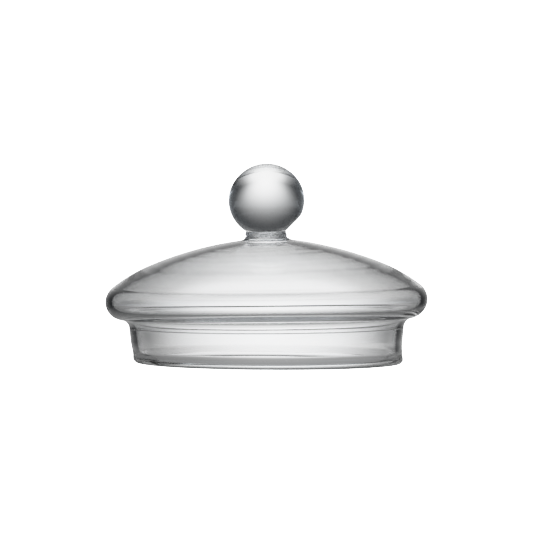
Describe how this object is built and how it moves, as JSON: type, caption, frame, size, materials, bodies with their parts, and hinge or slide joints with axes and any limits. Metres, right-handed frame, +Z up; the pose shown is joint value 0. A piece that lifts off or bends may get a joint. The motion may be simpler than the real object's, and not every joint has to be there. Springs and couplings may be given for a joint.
{
  "type": "glass lid",
  "caption": "Clear glass lid with a solid ball knob on a short neck, a shallow dome with a rolled rim, and a tapered collar that locates in a dish's mouth.",
  "frame": {"origin": "on the lid's axis, at the level of the foot of the bead round the collar's open end", "axes": "+Z up along the axis of revolution, from the open collar to the knob; X and Y are interchangeable"},
  "size_m": [0.1098, 0.1098, 0.068],
  "materials": {
    "knob_glass": "clear, solid, fire-polished",
    "neck_glass": "clear, with rippled flame-sealed joints",
    "dome_glass": "clear, blown, with faint concentric ripples",
    "collar_glass": "clear, fire-polished bead at the open end"
  },
  "bodies": {
    "root": {"knob_ball": "knob_glass", "knob_neck": "neck_glass", "dome_shell": "dome_glass", "locating_collar": "collar_glass"}
  },
  "joints": []
}
